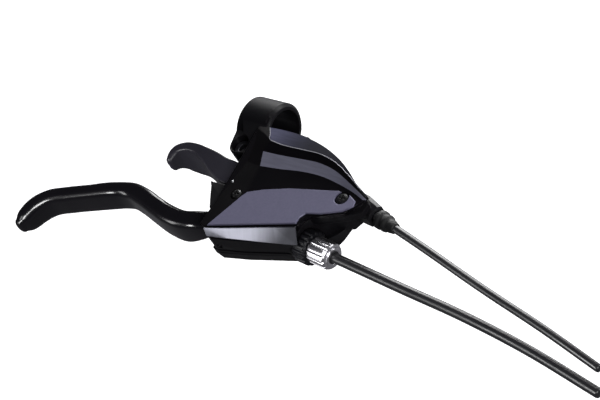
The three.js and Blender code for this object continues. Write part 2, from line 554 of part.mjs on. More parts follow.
// ---- shift cable: boot, ferrule, casing and inner wire ----
const BOOT_PROFILE = [
  [0, 0], [4.6, 0], [4.6, 2.6], [3.9, 3.2], [3.9, 4.6], [4.3, 5.2], [4.1, 6.4],
  [3.3, 7.2], [3.1, 9.6], [2.6, 11.6], [0, 11.6],
];
add('shift_cable_boot', 'rubber', cut(
  turned(shiftAt(1.4), SHIFT_DIR, BOOT_PROFILE),
  column(shiftAt(-1), SHIFT_DIR, 2.12, 20, 20),
));
add('shift_casing_ferrule', 'steel', cut(
  column(shiftAt(-0.7), SHIFT_DIR, 2.6, 1.8, 20),
  column(shiftAt(-3), SHIFT_DIR, 0.9, 9, 12),
));
const SHIFT_ROUTE = [
  shiftAt(1.3), shiftAt(12),
  [119.2, -40.6, 0], [158.8, -51.2, -4], [195.1, -59.5, -10], [225.2, -66.5, -18],
];
add('shift_cable_casing', 'rubber',
  cut(hose(SHIFT_ROUTE, 2.0, 20), rod(shiftAt(-1), shiftAt(7), 0.9, 8)));
// The wire starts just past where it leaves the drum.
const wireStart = AXLE.map((v, i) => v + SHIFT_NORMAL[i] * CABLE_R + SHIFT_DIR[i] * 0.4);
add('shift_inner_wire', 'steel', rod([...wireStart, SHIFT_POINT[2]], shiftAt(6), 0.6, 8));

// ---- shift mechanism ----
const DRUM_PROFILE = [
  [0, 0], [5.2, 0], [5.2, 13.6], [12.2, 13.6], [12.2, 15.0], [10.5, 15.8],
  [10.5, 17], [12.2, 17.8], [12.2, 18.9], [0, 18.9],
];
add('cable_drum', 'nylon', cut(
  turned([...AXLE, -15.4], Z_AXIS, DRUM_PROFILE, 32),
  cyl(AXLE, PIN_BORE, -20, 9),
  boxAt([AXLE[0] - 5.2, AXLE[1]], 0.6, 1, -17, -12.5),
));
function indexRatchet() {
  const teeth = 27, points = [];
  for (let i = 0; i < teeth; i++) {
    const start = i * 360 / teeth;
    points.push(aroundAxle(10.6, start), aroundAxle(9, start + 2.4), aroundAxle(9, start + 5));
  }
  return cut(prism(points, ...PAWL_Z), cyl(AXLE, 5.25, -20, 0));
}
add('index_ratchet', 'steel', indexRatchet());
add('shift_axle', 'steel', cut(
  turned([...AXLE, -20.4], Z_AXIS,
    [[0, 0], [PIN_R, 0], [PIN_R, 28.5], [5.6, 28.5], [5.6, 30], [0, 30]]),
  boxAt(AXLE, 4, 0.6, 9, 12),
));
add('axle_nut', 'steel', cut(cyl(AXLE, 4.9, -20.3, -19, 6), cyl(AXLE, 3.03, -30, 0)));
add('axle_washer', 'steel', cut(cyl(AXLE, 5.6, -18.9, -18.15), cyl(AXLE, 3.1, -30, 0)));

// ---- base plate across the mouth of the cavity ----
const houseOutline = (bigRadius, smallRadius) =>
  discHull([[39, -33], bigRadius, 32], [[35, -31], smallRadius, 24]);
const HOUSE = houseOutline(21.6, 15.5);
add('shift_base_plate', 'darkSteel', cut(prism(HOUSE, -12, -10.3),
  ringRoom,
  cyl(AXLE, 5.5, -20, 0, 28),
  box(29.8, 33.6, -28.8, -23.2, -20, 0),
  cyl(PIVOT, 5, -20, 0),
  ...cyls(HOUSE_SCREWS, 1.6, -20, 0, 12)));

// ---- flat spiral spring that winds the cable in ----
function drumSpring() {
  const startRadius = 5.8, endRadius = 11.6, turns = 2.6, thickness = 0.6, steps = 52;
  const outside = [], inside = [];
  for (let i = 0; i <= steps; i++) {
    const f = i / steps, degrees = turns * 360 * f;
    const radius = startRadius + (endRadius - startRadius) * f;
    outside.push(aroundAxle(radius + thickness / 2, degrees));
    inside.unshift(aroundAxle(radius - thickness / 2, degrees));
  }
  return prism(outside.concat(inside), -9, -4.6);
}
add('drum_return_spring', 'steel', drumSpring());

// ---- lower cover ----
function lowerCover() {
  const shell = cut(prism(HOUSE, -21.6, -12.2, 1), prism(houseOutline(19.8, 13.8), -20.6, -10));
  const posts = cyls(HOUSE_SCREWS, 2.5, -21, -12.2, 16)
    .map(post => post.intersect(prism(HOUSE, -21, -12.2)));
  const sweep = []; // fan the thumb lever swings through
  for (let degrees = 122; degrees <= 204; degrees += 6) sweep.push(aroundAxle(34, degrees));
  sweep.push(AXLE);
  return cut(join(shell, ...posts),
    prism(sweep, -18.4, -15.4).subtract(cyl(AXLE, 11.5, -30, 0, 30)),
    ...cyls(HOUSE_SCREWS, 1.5, -30, 0, 12));
}
const lowerCoverScrew = at => cut(
  join(
    cyl(at, 1.42, -21.7, -6, 12),
    turned([...at, -23.1], Z_AXIS, [[0, 0], [2, 0], [2.5, 0.5], [2.5, 1.5], [0, 1.5]], 16),
  ),
  boxAt(at, 1.6, 0.3, -30, -22.4),
);
add('lower_cover', 'plastic', lowerCover());
HOUSE_SCREWS.forEach((at, i) =>
  add('lower_cover_screw_' + 'ab'[i], 'darkSteel', lowerCoverScrew(at)));

// ---- thumb lever, its pad and the driving pawl ----
const THUMB_BEND = aroundAxle(24, 143);
const THUMB_END = [-3, 7];
const DRIVE_PIN = aroundAxle(13.5, -110);
const PAD_STOPS = [ // columns as in blade()
  [6, 10.4, 1.6, -27, -18.6, 1], [-1, 9, 2.8, -29.4, -17, 1.6], [-9, 10.2, 3, -30.6, -17, 1.8],
  [-17, 13.6, 2.6, -30.4, -17.6, 1.6], [-22.6, 18.6, 1.4, -28, -19.4, 1],
];
add('thumb_lever', 'darkSteel', cut(
  join(
    cyl(AXLE, 7, ...THUMB_Z, 28),
    prism(discHull([AXLE, 6.5, 20], [THUMB_BEND, 4.6, 14]), ...THUMB_Z),
    prism(discHull([THUMB_BEND, 4.6, 14], [THUMB_END, 4.8, 14]), ...THUMB_Z),
    prism(discHull([AXLE, 5.5, 20], [DRIVE_PIN, 3, 14]), ...THUMB_Z),
  ),
  cyl(AXLE, PIN_BORE, -30, 0),
  cyl(DRIVE_PIN, PAWL_BORE, -30, 0, 14),
  cyl(THUMB_END, 1.6, -30, 0, 14),
));
add('thumb_pad', 'plastic', cut(
  join(blade(PAD_STOPS), cyl(THUMB_END, 4.4, -28, -18, 20)),
  prism(discHull([THUMB_BEND, 5, 14], [THUMB_END, 5.1, 14]), -18.3, -10), // lever's seat
  cyl(THUMB_END, 1.6, -24, -10, 14),
));
add('thumb_pad_screw', 'steel',
  join(cyl(THUMB_END, 1.5, -23.6, -15, 14), cyl(THUMB_END, 3, -15.6, -14.8, 20)));
// Pawl of the ratchet's thickness: a hub on its pin, with a hull out to each tip's points.
const pawl = (pin, hubRadius, ...tips) => cut(
  join(...tips.map(tip => prism(hull([...circle(pin, hubRadius, 16), ...tip]), ...PAWL_Z))),
  cyl(pin, PAWL_BORE, -30, 0, 14),
);
const DRIVE_TIP = [aroundAxle(11.2, -84), aroundAxle(11.2, -88), aroundAxle(13.6, -82)];
add('drive_pawl_pin', 'steel', cyl(DRIVE_PIN, PAWL_PIN_R, -17.8, -13.1, 14));
add('drive_pawl', 'steel', pawl(DRIVE_PIN, 2.2, DRIVE_TIP));

// ---- holding pawl ----
const HOLD_PIN = [26.6, -31];
const HOLD_TIP = [[36.6, -37.9], [35.6, -39.4], [32.6, -38.4]];
const HOLD_TAIL = [[31.4, -27], [32, -27.6], [31.6, -28.6]];
add('hold_pawl_pin', 'steel', cyl(HOLD_PIN, PAWL_PIN_R, -15.4, -12.1, 14));
add('hold_pawl', 'steel', pawl(HOLD_PIN, 2.5, HOLD_TIP, HOLD_TAIL));

export default root;
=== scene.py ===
# A combined brake and gear shift lever unit for a handlebar.
# Frame: the brake lever reaches towards -X along the -Y side, the cable casings leave towards +X,
# and the faceted top cover faces +Z. Points are in mm from the clamp bore's centre;
# lights, floor and shader distances are in metres.
import bpy, bmesh, math
from mathutils import Vector, Matrix

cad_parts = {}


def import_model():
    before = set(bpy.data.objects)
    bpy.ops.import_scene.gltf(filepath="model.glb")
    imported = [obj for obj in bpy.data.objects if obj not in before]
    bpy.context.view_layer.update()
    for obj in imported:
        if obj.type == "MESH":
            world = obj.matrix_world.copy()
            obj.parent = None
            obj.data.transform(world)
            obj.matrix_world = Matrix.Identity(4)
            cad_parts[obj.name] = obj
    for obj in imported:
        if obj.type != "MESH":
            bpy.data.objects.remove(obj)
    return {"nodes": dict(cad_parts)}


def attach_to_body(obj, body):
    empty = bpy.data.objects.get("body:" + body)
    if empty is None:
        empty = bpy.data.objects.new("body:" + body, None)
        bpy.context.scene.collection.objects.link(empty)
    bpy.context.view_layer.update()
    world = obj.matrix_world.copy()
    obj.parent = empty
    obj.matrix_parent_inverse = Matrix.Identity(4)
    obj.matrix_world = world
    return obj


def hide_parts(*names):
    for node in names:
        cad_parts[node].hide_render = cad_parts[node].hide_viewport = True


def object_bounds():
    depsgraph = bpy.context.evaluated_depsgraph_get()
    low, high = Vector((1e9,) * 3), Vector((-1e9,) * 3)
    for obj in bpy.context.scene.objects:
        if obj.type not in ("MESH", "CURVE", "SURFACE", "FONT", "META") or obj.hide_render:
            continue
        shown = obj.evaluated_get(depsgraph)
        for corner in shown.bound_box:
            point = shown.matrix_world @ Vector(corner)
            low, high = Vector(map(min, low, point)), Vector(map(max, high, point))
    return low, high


cad_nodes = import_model()["nodes"]
cad_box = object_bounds()
MM = 0.001
DATUM_X, DATUM_Y = 9.5, -12.5          # the clamp bore's centre in the frame's axes, mm
DATUM = Vector((DATUM_X * MM, DATUM_Y * MM, 0))
WHITE = (1, 1, 1, 1)


def add_object(name, data):
    obj = bpy.data.objects.new(name, data)
    bpy.context.scene.collection.objects.link(obj)
    return obj


# ------------------------------------------------------------------ shader nodes
def add_node(tree, kind, inputs, **settings):
    """Make a node; each input is given a value, or linked where a socket is passed."""
    node = tree.nodes.new("ShaderNode" + kind)
    for key, value in settings.items():
        setattr(node, key, value)
    for key, value in inputs.items():
        if isinstance(value, bpy.types.NodeSocket):
            tree.links.new(value, node.inputs[key])
        else:
            node.inputs[key].default_value = value
    return node


def mix_colours(tree, factor, first, second):
    # inputs 0, 6, 7 and output 2 are the colour sockets of a Mix node
    return add_node(tree, "Mix", {0: factor, 6: first, 7: second}, data_type="RGBA").outputs[2]


def painted_light_falloff(tree, colour, coords, start, end, start_scale, end_scale):
    """Scale a colour smoothly along the line between two points of the frame, painting a fall-off
    of light into it.
    """
    start, end = Vector(start), Vector(end)
    axis = (end - start) / (end - start).length_squared
    offset = add_node(tree, "VectorMath", {0: coords, 1: start}, operation="SUBTRACT")
    along = add_node(tree, "VectorMath", {0: offset.outputs[0], 1: axis},
                     operation="DOT_PRODUCT")
    scale = add_node(tree, "MapRange",
                     {"Value": along.outputs["Value"], "To Min": start_scale, "To Max": end_scale},
                     interpolation_type="SMOOTHSTEP")
    return add_node(tree, "VectorMath", {0: colour, "Scale": scale.outputs[0]},
                    operation="SCALE").outputs[0]


def wear_edges(tree, colour, speckle, wear, wear_colour):
    """Show wear_colour on convex edges, broken up by the fine noise."""
    pointiness = add_node(tree, "NewGeometry", {}).outputs["Pointiness"]
    edges = add_node(tree, "MapRange",
                     {"Value": pointiness, "From Min": 0.53, "From Max": 0.62})
    broken = add_node(tree, "Math", {0: edges.outputs[0], 1: speckle}, operation="MULTIPLY")
    amount = add_node(tree, "Math", {0: broken.outputs[0], 1: wear},
                      operation="MULTIPLY", use_clamp=True)
    return mix_colours(tree, amount.outputs[0], colour, (*wear_colour, 1))


def mat(name, base, rough, *, grain, bump, metal=0.0, vary=0.12, rvary=0.1, coarse=60.0,
        stretch=(1, 1, 1), spec=0.5, coat=0.0, edge=0.0004, wear=0.0,
        wear_colour=(0.5, 0.5, 0.52), fade=None):
    """A surface with slow colour and roughness variation and a fine bumpy grain.

    coarse, grain: scales of the slow and the fine noise; stretch: their scale per axis
    vary, rvary: swing of the colour (as a share) and of the roughness
    spec, coat: strengths of the reflection and of the clear coat
    edge: radius of the shaded edge rounding; fade: arguments of painted_light_falloff from start
    on, a painted shade gradient
    """
    material = bpy.data.materials.new(name)
    material.use_nodes = True
    tree = material.node_tree
    tree.nodes.clear()
    coords = add_node(tree, "TexCoord", {}).outputs["Object"]
    mapped = add_node(tree, "Mapping", {"Vector": coords, "Scale": stretch}).outputs[0]
    slow, speckle = (
        add_node(tree, "TexNoise", {"Vector": mapped, "Scale": scale, "Detail": detail})
        .outputs["Fac"] for scale, detail in ((coarse, 5), (grain, 3)))
    low = [c * (1 - vary) for c in base]
    high = [min(1, c * (1 + vary) + 0.002) for c in base]
    colour = mix_colours(tree, slow, (*low, 1), (*high, 1))
    # painted shade: the colour is scaled down along a line, following the light's fall-off
    if fade:
        colour = painted_light_falloff(tree, colour, coords, *fade)
    roughness = add_node(tree, "MapRange", {"Value": slow, "To Min": max(0.02, rough - rvary),
                                            "To Max": min(1, rough + rvary)})
    if wear:
        colour = wear_edges(tree, colour, speckle, wear, wear_colour)
    relief = {"Strength": bump, "Distance": 0.0002, "Height": speckle}
    if edge:
        relief["Normal"] = add_node(tree, "Bevel", {"Radius": edge}, samples=6).outputs[0]
    surface = {"Base Color": colour, "Roughness": roughness.outputs[0], "Metallic": metal,
               "Specular IOR Level": spec,
               "Normal": add_node(tree, "Bump", relief).outputs[0]}
    if coat:
        surface.update({"Coat Weight": coat, "Coat Roughness": 0.12})
    shader = add_node(tree, "BsdfPrincipled", surface)
    add_node(tree, "OutputMaterial", {0: shader.outputs[0]})
    return material


# ------------------------------------------------------------------ materials
FACET_GRAIN = dict(grain=3600, bump=0.16, coarse=800, stretch=(0.12, 1.3, 1))
MATERIALS = {
    "paint": mat("black_paint", (0.0062, 0.0058, 0.0075), rough=0.36, grain=2600, bump=0.12,
                 wear=0.06, coat=0.04, spec=0.2),
    "lever": mat("gloss_black_lever", (0.004, 0.0036, 0.0052), rough=0.2, grain=1500, bump=0.03,
                 vary=0.1, coat=0.3, rvary=0.03, wear=0.04, edge=0, spec=0.4),
    "plastic": mat("moulded_black", (0.0055, 0.0048, 0.006), rough=0.46, grain=3200, bump=0.3,
                   wear=0.04, spec=0.12),
    "paddle": mat("moulded_paddle", (0.019, 0.018, 0.025), rough=0.36, grain=3200, bump=0.25,
                  wear=0.06, edge=0, spec=0.45),
    "gloss": mat("cover_gloss_black", (0.0045, 0.0038, 0.0055), rough=0.3, grain=2400, bump=0.06,
                 coat=0.08, rvary=0.06, edge=0.0003, spec=0.2),
    # grey paint of the mid facet; its slight darkening towards +X is painted shade
    "facet": mat("cover_facet_grey", (0.34, 0.34, 0.45), rough=0.4, metal=0.3, vary=0.22,
                 rvary=0.06, coat=0.1, fade=((0.036, 0, 0), (0.09, 0, 0), 0.98, 0.95),
                 **FACET_GRAIN),
    # blue-grey facet paint, lightened to paint in the reflection the facet catches; its fade to
    # near black towards +X is painted shade
    "facet_painted_reflection": mat("cover_facet_painted_reflection", (0.115, 0.117, 0.195), rough=0.5, metal=0.1, vary=0.35,
                    rvary=0.05, spec=0.08, fade=((0.018, 0, 0), (0.055, 0, 0), 1.0, 0.12),
                    **FACET_GRAIN),
    "plate": mat("plate_grey_metallic", (0.225, 0.218, 0.33), rough=0.38, metal=0.3, grain=5200,
                 bump=0.16, vary=0.13, rvary=0.05, coat=0.15, coarse=1100),
    # brushed silver of the front trim; its darkening towards +X and downwards is painted shade
    "silver": mat("brushed_silver", (0.47, 0.475, 0.55), rough=0.3, metal=1.0, grain=3600,
                  bump=0.08, vary=0.16, stretch=(1.5, 0.1, 0.1), rvary=0.05, coarse=520,
                  fade=((0.042, 0, 0.011), (0.056, 0, -0.001), 1.0, 0.13)),
    "chrome": mat("satin_chrome", (0.82, 0.81, 0.85), rough=0.27, metal=1.0, grain=900,
                  bump=0.03, vary=0.06, rvary=0.05, edge=0.0002),
    "steel": mat("zinc_steel", (0.42, 0.43, 0.45), rough=0.34, metal=0.9, grain=1800, bump=0.1,
                 vary=0.15),
    "dark": mat("black_oxide", (0.06, 0.06, 0.065), rough=0.4, metal=0.7, grain=2200, bump=0.15,
                wear=0.3, wear_colour=(0.25, 0.25, 0.27)),
    "rubber": mat("black_rubber", (0.012, 0.012, 0.013), rough=0.62, grain=2600, bump=0.35,
                  vary=0.2),
    "casing": mat("black_casing", (0.011, 0.011, 0.013), rough=0.34, grain=1300, bump=0.12,
                  vary=0.15, coat=0.15, edge=0),
    "knurl": mat("black_ring", (0.006, 0.006, 0.008), rough=0.34, grain=2600, bump=0.15,
                 wear=0.1, wear_colour=(0.05, 0.05, 0.055), coat=0.04, spec=0.2),
    "screw": mat("cover_screw_black", (0.012, 0.012, 0.013), rough=0.36, metal=0.2, grain=2400,
                 bump=0.2, wear=0.15, wear_colour=(0.06, 0.06, 0.065)),
    # painted highlight: bright metal for the thin tube that stands in for light on the cover's
    # facet edge
    "line": mat("painted_edge_highlight", (0.42, 0.42, 0.47), rough=0.3, metal=0.8, grain=2400, bump=0.05,
                vary=0.15, edge=0),
    "nylon": mat("natural_nylon", (0.68, 0.66, 0.6), rough=0.5, grain=1500, bump=0.1),
    "bronze": mat("bronze_bush", (0.5, 0.33, 0.14), rough=0.35, metal=0.9, grain=1500, bump=0.1),
    "mech": mat("grey_bolt", (0.14, 0.14, 0.16), rough=0.3, metal=0.85, grain=1800, bump=0.1,
                wear=0.2),
}
# CAD pieces by material; every other piece is steel
NODES_BY_MATERIAL = {
    "paint": ["bracket"], "gloss": ["top_cover"], "plate": ["name_plate"],
    "silver": ["front_trim"], "lever": ["brake_lever"], "paddle": ["release_lever", "thumb_pad"],
    "knurl": ["adjuster_lock_ring"], "chrome": ["barrel_adjuster"],
    "casing": ["brake_cable_casing", "shift_cable_casing"], "rubber": ["shift_cable_boot"],
    "plastic": ["lower_cover"], "mech": ["clamp_bolt"], "nylon": ["cable_drum"],
    "bronze": ["brake_pivot_bush"],
    "dark": ["thumb_lever", "cover_screw_left", "cover_screw_right", "pivot_clip",
             "shift_base_plate", "reach_adjust_screw", "brake_casing_ferrule",
             "lower_cover_screw_a", "lower_cover_screw_b", "lower_cover_screw_c"],
}
material_of = {node: key for key, nodes in NODES_BY_MATERIAL.items() for node in nodes}
for node_name, cad_object in cad_nodes.items():
    cad_object.data.materials.clear()
    cad_object.data.materials.append(MATERIALS[material_of.get(node_name, "steel")])


# ------------------------------------------------------------------ camera
X_TO_VIEWER = math.radians(38.0)       # the frame's X axis leans out of the image plane
SPIN_ABOUT_X = math.radians(28.0)
IMAGE_ROLL = math.radians(14.85)       # X axis turned clockwise in the image
CAMERA_POSITION = Vector((14.567308, -34.230769, 1600))   # from the datum in camera axes, mm

x_in_image = Vector((math.cos(IMAGE_ROLL), -math.sin(IMAGE_ROLL), 0))
across_image = Vector((math.sin(IMAGE_ROLL), math.cos(IMAGE_ROLL), 0))
to_viewer = Vector((0, 0, 1))
behind_x = -math.sin(X_TO_VIEWER) * x_in_image + math.cos(X_TO_VIEWER) * to_viewer
# each row is a frame axis in camera axes, so the matrix takes camera axes to frame axes
camera_to_frame = Matrix((
    math.cos(X_TO_VIEWER) * x_in_image + math.sin(X_TO_VIEWER) * to_viewer,
    math.cos(SPIN_ABOUT_X) * across_image - math.sin(SPIN_ABOUT_X) * behind_x,
    math.sin(SPIN_ABOUT_X) * across_image + math.cos(SPIN_ABOUT_X) * behind_x))

scene = bpy.context.scene
camera_data = bpy.data.cameras.new("cam")
camera_data.sensor_width = 36.0
camera_data.lens = 199.68
camera_data.clip_start, camera_data.clip_end = 0.1, 20
camera = add_object("cam", camera_data)
camera_place = camera_to_frame @ CAMERA_POSITION * MM
camera.matrix_world = Matrix.Translation(camera_place + DATUM) @ camera_to_frame.to_4x4()
scene.camera = camera
scene.view_settings.view_transform = "Standard"

# ------------------------------------------------------------------ lights and world
LIGHT_AIM = Vector((0.03, -0.04, 0)) + DATUM
lights = {}


def area(name, direction, *, distance, size, power, size_y=None):
    """An area light at a distance from LIGHT_AIM and facing it; a rectangle if size_y is given."""
    data = bpy.data.lights.new(name, "AREA")
    data.energy, data.size = power, size
    if size_y:
        data.shape, data.size_y = "RECTANGLE", size_y
    light = lights[name] = add_object(name, data)
    outward = Vector(direction).normalized()
    light.location = LIGHT_AIM + outward * distance
    light.rotation_euler = outward.to_track_quat("Z", "Y").to_euler()


def from_camera(x, y, z):
    return camera_to_frame @ Vector((x, y, z))


area("key", from_camera(-0.02, 0.98, -0.14), distance=1.0, size=0.45, power=5)
area("front", from_camera(0.25, -0.1, 0.95), distance=1.2, size=0.5, power=7)
area("rider_fill", (-0.3, 0.94, 0.08), distance=1.0, size=0.6, power=8)
area("far_fill", (0.55, 0.8, 0.2), distance=1.2, size=0.6, power=6)
area("side_strip", from_camera(-0.95, -0.16, 0.11), distance=0.9, size=0.16, power=1.6,
     size_y=0.5)
area("side_strip_front", from_camera(-0.76, -0.24, 0.6), distance=0.9, size=0.2, power=5.5,
     size_y=0.36)
area("bright_metal_card", from_camera(-0.92, -0.38, 0.05), distance=0.8, size=0.7, power=2.7)
area("chrome_card", from_camera(-0.35, 0.35, 0.87), distance=0.8, size=0.4, power=3.5)

# the world is white to the camera and dim to everything else
world = bpy.data.worlds.new("w")
scene.world = world
world.use_nodes = True
sees_camera = add_node(world.node_tree, "LightPath", {}).outputs["Is Camera Ray"]
world_colour = mix_colours(world.node_tree, sees_camera, (0.024, 0.024, 0.028, 1), WHITE)
world.node_tree.links.new(world_colour, world.node_tree.nodes["Background"].inputs[0])

# ------------------------------------------------------------------ floor
FLOOR_HALF = 4
FLOOR_DROP = 0.09                      # below the CAD pieces


def floor_material():
    """Pale and glowing to the camera, grey to all other rays."""
    material = mat("floor_pale", (0.92, 0.92, 0.93), rough=0.9, grain=40, bump=0.01,
                   vary=0.01, rvary=0.03, edge=0, coarse=2)
    tree = material.node_tree
    shader = next(node for node in tree.nodes if node.type == "BSDF_PRINCIPLED")
    camera_ray = add_node(tree, "LightPath", {}).outputs["Is Camera Ray"]
    glow = add_node(tree, "Math", {0: camera_ray, 1: 0.75}, operation="MULTIPLY")
    tree.links.new(glow.outputs[0], shader.inputs["Emission Strength"])
    shader.inputs["Emission Color"].default_value = WHITE
    pale = shader.inputs["Base Color"].links[0].from_socket
    colour = mix_colours(tree, camera_ray, (0.16, 0.16, 0.17, 1), pale)
    tree.links.new(colour, shader.inputs["Base Color"])
    return material


floor_paint = floor_material()
bm = bmesh.new()
for x, y in ((-1, -1), (1, -1), (1, 1), (-1, 1)):
    bm.verts.new((x * FLOOR_HALF, y * FLOOR_HALF, cad_box[0][2] - FLOOR_DROP))
bm.faces.new(bm.verts)
floor_mesh = bpy.data.meshes.new("floor")
bm.to_mesh(floor_mesh)
bm.free()
floor = add_object("floor", floor_mesh)
floor_mesh.materials.append(floor_paint)


# ------------------------------------------------------------------ geometry helpers
def add_bevel(obj, width, segments, angle):
    bevel = obj.modifiers.new("bevel", "BEVEL")
    bevel.width = width * MM
    bevel.segments = segments
    bevel.limit_method = "ANGLE"
    bevel.angle_limit = math.radians(angle)
    bevel.use_clamp_overlap = True


def new_mesh(name, verts, faces, materials, smooth=True, face_materials=None):
    """A mesh object from points in mm measured from the datum."""
    bm = bmesh.new()
    points = [bm.verts.new(((x + DATUM_X) * MM, (y + DATUM_Y) * MM, z * MM)) for x, y, z in verts]
    for i, corners in enumerate(faces):
        face = bm.faces.new([points[k] for k in corners])
        face.smooth = smooth
        if face_materials:
            face.material_index = face_materials[i]
    bmesh.ops.remove_doubles(bm, verts=bm.verts, dist=1e-7)
    bmesh.ops.recalc_face_normals(bm, faces=bm.faces)
    mesh = bpy.data.meshes.new(name)
    bm.to_mesh(mesh)
    bm.free()
    for key in materials:
        mesh.materials.append(MATERIALS[key])
    return add_object(name, mesh)


def spline(stops, count):
    """count stations on a smooth curve through the stops, every column interpolated.

    Stations are evenly spaced by distance in XY, the first two columns."""
    along = [0.0]
    for a, b in zip(stops, stops[1:]):
        along.append(along[-1] + math.dist(a[:2], b[:2]))
    stations = []
    for k in range(count):
        t = along[-1] * k / (count - 1)
        i = 0
        while i < len(stops) - 2 and along[i + 1] < t:
            i += 1
        a, b = stops[i], stops[i + 1]
        span = along[i + 1] - along[i]
        u = (t - along[i]) / span
        # beyond either end the curve is continued in a straight line
        first, last = i == 0, i + 2 == len(stops)
        before = [2 * p - q for p, q in zip(a, b)] if first else stops[i - 1]
        after = [2 * q - p for p, q in zip(a, b)] if last else stops[i + 2]
        span_in = span if first else along[i] - along[i - 1]
        span_out = span if last else along[i + 2] - along[i + 1]
        row = []
        for x0, x1, x2, x3 in zip(before, a, b, after):
            slope = (x2 - x1) / span
            m1 = (slope * span_in + (x1 - x0) / span_in * span) / (span_in + span) * span
            m2 = ((x3 - x2) / span_out * span + slope * span_out) / (span_out + span) * span
            row.append((2*u**3 - 3*u*u + 1) * x1 + (u**3 - 2*u*u + u) * m1
                       + (-2*u**3 + 3*u*u) * x2 + (u**3 - u*u) * m2)
        stations.append(row)
    return stations


def rounded_box(half, bottom, top, radius, steps):
    """Rounded box outline as (across, up) pairs."""
    radius = min(radius, half * 0.98, (top - bottom) * 0.49)
    points = []
    for across, up, start in ((half - radius, top - radius, 0), (-half + radius, top - radius, 90),
                              (-half + radius, bottom + radius, 180),
                              (half - radius, bottom + radius, 270)):
        for i in range(steps + 1):
            a = math.radians(start + 90 * i / steps)
            points.append((across + radius * math.cos(a), up + radius * math.sin(a)))
    return points


def loft(name, sections, material):
    """A skin over closed sections of equal point count, capped at both ends."""
    n, last = len(sections[0]), len(sections) - 1
    faces = [(k*n + i, k*n + (i+1) % n, (k+1)*n + (i+1) % n, (k+1)*n + i)
             for k in range(last) for i in range(n)]
    faces += [tuple(range(n))[::-1], tuple(last * n + i for i in range(n))]
    return new_mesh(name, [p for s in sections for p in s], faces, [material])


def blade(name, stops, material, *, count, steps, dome_end=True):
    """A bar of rounded box section along the stops, domed at the start and, if asked, the end.

    Stop columns: x, y, half width, bottom z, top z, corner radius."""
    stations = spline(stops, count)

    def section(i, scale=1.0, push=0.0):
        x, y, half, bottom, top, radius = stations[i]
        a, b = stations[max(0, i - 1)], stations[min(count - 1, i + 1)]
        dx, dy = b[0] - a[0], b[1] - a[1]
        length = math.hypot(dx, dy)
        dx /= length
        dy /= length
        middle = (bottom + top) / 2
        outline = rounded_box(half * scale, middle + (bottom - middle) * scale,
                              middle + (top - middle) * scale, radius * scale, steps)
        return [(x + dx * push - dy * u, y + dy * push + dx * u, z) for u, z in outline]

    def dome(i, side, angles):
        reach = side * min(stations[i][2], stations[i][5])
        for a in map(math.radians, angles):
            scale = math.cos(a) * 0.6 + 0.4 * math.cos(a) ** 0.5
            yield section(i, scale, reach * math.sin(a))

    sections = [*dome(0, -1, (80, 60, 40, 20)), *(section(i) for i in range(count))]
    if dome_end:
        sections += dome(count - 1, 1, (20, 40, 60, 80))
    return loft(name, sections, material)


def axial_loft(name, base, direction, rings, material):
    """A skin over rings about an axis; a ring is (distance along the axis, radii around it)."""
    turn = Vector((0, 0, 1)).rotation_difference(Vector(direction).normalized())
    base = Vector(base)
    return loft(name, [[tuple(base + turn @ Vector((r * math.cos(2*math.pi*i/len(radii)),
                                                    r * math.sin(2*math.pi*i/len(radii)), z)))
                        for i, r in enumerate(radii)] for z, radii in rings], material)


def turned(name, base, direction, profile, material, sides=64):
    """Turned shape: profile is (radius, distance) pairs about direction."""
    rings = [(z, [max(r, 1e-4)] * sides) for r, z in profile]
    return axial_loft(name, base, direction, rings, material)


def fluted(name, base, direction, material, *, length, groove_radius, ridge_radius, ridges,
           duty, soft, chamfer, rounding=0.0):
    """Knob with ridges along its axis, chamfered at the base and chamfered or rounded at the end.

    duty: the ridge tops' share of the pitch; soft: the flanks' share"""
    steps = 14                         # points around each ridge
    radii = []
    for i in range(ridges * steps):
        t = abs((i / steps) % 1.0 - 0.5) * 2      # 0 in a ridge's middle, 1 in a groove's
        k = min(1, max(0, (t - duty) / soft))
        radii.append(ridge_radius + (groove_radius - ridge_radius) * (k * k * (3 - 2 * k)))
    # (distance along the axis, depth cut from the radius)
    cuts = [(0, chamfer), (0.12, chamfer * 0.45), (0.35, chamfer * 0.15), (0.75, 0)]
    if rounding:
        cuts += [(length - rounding * (1 - math.sin(a)), rounding * (1 - math.cos(a)))
                 for a in map(math.radians, range(0, 91, 10))]
    else:
        cuts += [(length - z, cut) for z, cut in cuts[::-1]]

    def cut_radius(r, cut):
        if rounding:
            return min(r, ridge_radius - cut * 0.94)
        return max(groove_radius - 0.6, r - cut)

    rings = [(z, [cut_radius(r, cut) for r in radii]) for z, cut in cuts]
    return axial_loft(name, base, direction, rings, material)


def hose(name, points, radius, material, *, count, sides, end_step=0.3):
    """A round tube through the points; its end rings are smaller by end_step."""
    stations = spline(points, count)
    sections = []
    for i, place in enumerate(stations):
        ahead = Vector(stations[min(count - 1, i + 1)])
        along = (ahead - Vector(stations[max(0, i - 1)])).normalized()
        u = along.cross(Vector((0, 0, 1))).normalized()
        v = u.cross(along).normalized()
        r = radius if 0 < i < count - 1 else radius - end_step
        sections.append([tuple(Vector(place) + u * r * math.cos(2*math.pi*j/sides)
                               + v * r * math.sin(2*math.pi*j/sides)) for j in range(sides)])
    return loft(name, sections, material)


def prism(name, outline, bottom, top, material, bevel=0.2):
    n = len(outline)
    verts = [(x, y, z) for z in (bottom, top) for x, y in outline]
    faces = [tuple(range(n))[::-1], tuple(range(n, 2 * n))]
    faces += [(i, (i + 1) % n, (i + 1) % n + n, i + n) for i in range(n)]
    obj = new_mesh(name, verts, faces, [material], smooth=False)
    if bevel:
        add_bevel(obj, bevel, segments=2, angle=30)
    return obj


def circle(x, y, radius, count=20):
    return [(x + radius * math.cos(2 * math.pi * i / count),
             y + radius * math.sin(2 * math.pi * i / count)) for i in range(count)]


